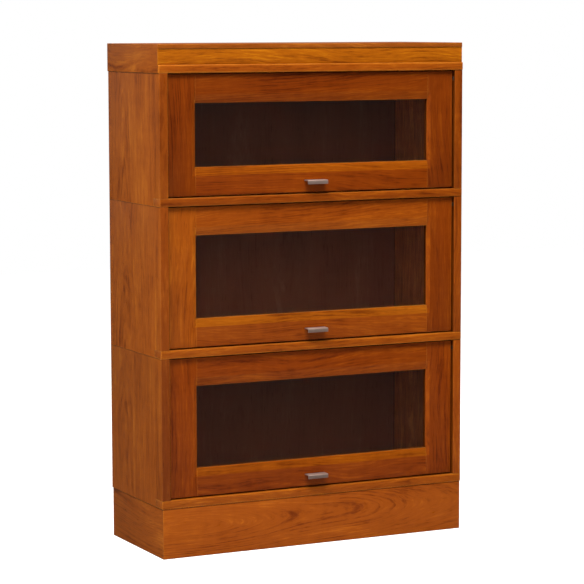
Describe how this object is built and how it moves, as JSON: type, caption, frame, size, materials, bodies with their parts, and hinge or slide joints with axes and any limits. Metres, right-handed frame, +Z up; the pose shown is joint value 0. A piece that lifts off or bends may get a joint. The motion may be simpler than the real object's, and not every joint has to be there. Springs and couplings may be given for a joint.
{
  "type": "barrister bookcase",
  "caption": "Stacking wooden bookcase on a plinth under a crown, with glazed doors that lift up and slide back above the shelves.",
  "frame": {"origin": "centre of the bounding box at floor level, the doors closed", "axes": "+Z up, +X to the right when facing the doors, the doors face -Y"},
  "size_m": [0.917, 0.373, 1.368],
  "materials": {
    "cherry": "satin lacquered solid cherry",
    "cherry_ply": "satin cherry-faced panel",
    "glass": "clear float glass",
    "nickel": "brushed nickel",
    "nylon": "moulded nylon"
  },
  "bodies": {
    "case": {"plinth_front": "cherry", "plinth_side_left": "cherry", "plinth_side_right": "cherry", "plinth_back": "cherry_ply", "plinth_block_front_left": "cherry_ply", "plinth_block_front_right": "cherry_ply", "plinth_block_back_left": "cherry_ply", "plinth_block_back_right": "cherry_ply", "lower_side_left": "cherry", "lower_side_right": "cherry", "lower_shelf_board": "cherry_ply", "lower_front_rail": "cherry", "lower_back_panel": "cherry_ply", "lower_rear_stretcher": "cherry", "middle_side_left": "cherry", "middle_side_right": "cherry", "middle_shelf_board": "cherry_ply", "middle_front_rail": "cherry", "middle_back_panel": "cherry_ply", "middle_rear_stretcher": "cherry", "upper_side_left": "cherry", "upper_side_right": "cherry", "upper_shelf_board": "cherry_ply", "upper_front_rail": "cherry", "upper_back_panel": "cherry_ply", "upper_rear_stretcher": "cherry", "crown_front": "cherry", "crown_moulding": "cherry", "crown_side_left": "cherry", "crown_side_right": "cherry", "crown_top": "cherry", "crown_back": "cherry_ply", "crown_dust_panel": "cherry_ply"},
    "lower_carriage": {"lower_guide_left": "nylon", "lower_guide_right": "nylon"},
    "lower_door": {"lower_door_stile_left": "cherry", "lower_door_stile_right": "cherry", "lower_door_rail_bottom": "cherry", "lower_door_rail_top": "cherry", "lower_door_glass": "glass", "lower_glass_bead": "cherry", "lower_door_pull": "nickel"},
    "middle_carriage": {"middle_guide_left": "nylon", "middle_guide_right": "nylon"},
    "middle_door": {"middle_door_stile_left": "cherry", "middle_door_stile_right": "cherry", "middle_door_rail_bottom": "cherry", "middle_door_rail_top": "cherry", "middle_door_glass": "glass", "middle_glass_bead": "cherry", "middle_door_pull": "nickel"},
    "upper_carriage": {"upper_guide_left": "nylon", "upper_guide_right": "nylon"},
    "upper_door": {"upper_door_stile_left": "cherry", "upper_door_stile_right": "cherry", "upper_door_rail_bottom": "cherry", "upper_door_rail_top": "cherry", "upper_door_glass": "glass", "upper_glass_bead": "cherry", "upper_door_pull": "nickel"}
  },
  "joints": [
    {"name": "lower_door_slide", "type": "slide", "parent": "case", "child": "lower_carriage", "axis": [0, 1, 0], "range_m": [0, 0.284]},
    {"name": "lower_door_lift", "type": "hinge", "parent": "lower_carriage", "child": "lower_door", "pos_m": [0, -0.1525, 0.516], "axis": [-1, 0, 0], "range_deg": [0, 90]},
    {"name": "middle_door_slide", "type": "slide", "parent": "case", "child": "middle_carriage", "axis": [0, 1, 0], "range_m": [0, 0.284]},
    {"name": "middle_door_lift", "type": "hinge", "parent": "middle_carriage", "child": "middle_door", "pos_m": [0, -0.1525, 0.919], "axis": [-1, 0, 0], "range_deg": [0, 90]},
    {"name": "upper_door_slide", "type": "slide", "parent": "case", "child": "upper_carriage", "axis": [0, 1, 0], "range_m": [0, 0.244]},
    {"name": "upper_door_lift", "type": "hinge", "parent": "upper_carriage", "child": "upper_door", "pos_m": [0, -0.1525, 1.269], "axis": [-1, 0, 0], "range_deg": [0, 90]}
  ]
}
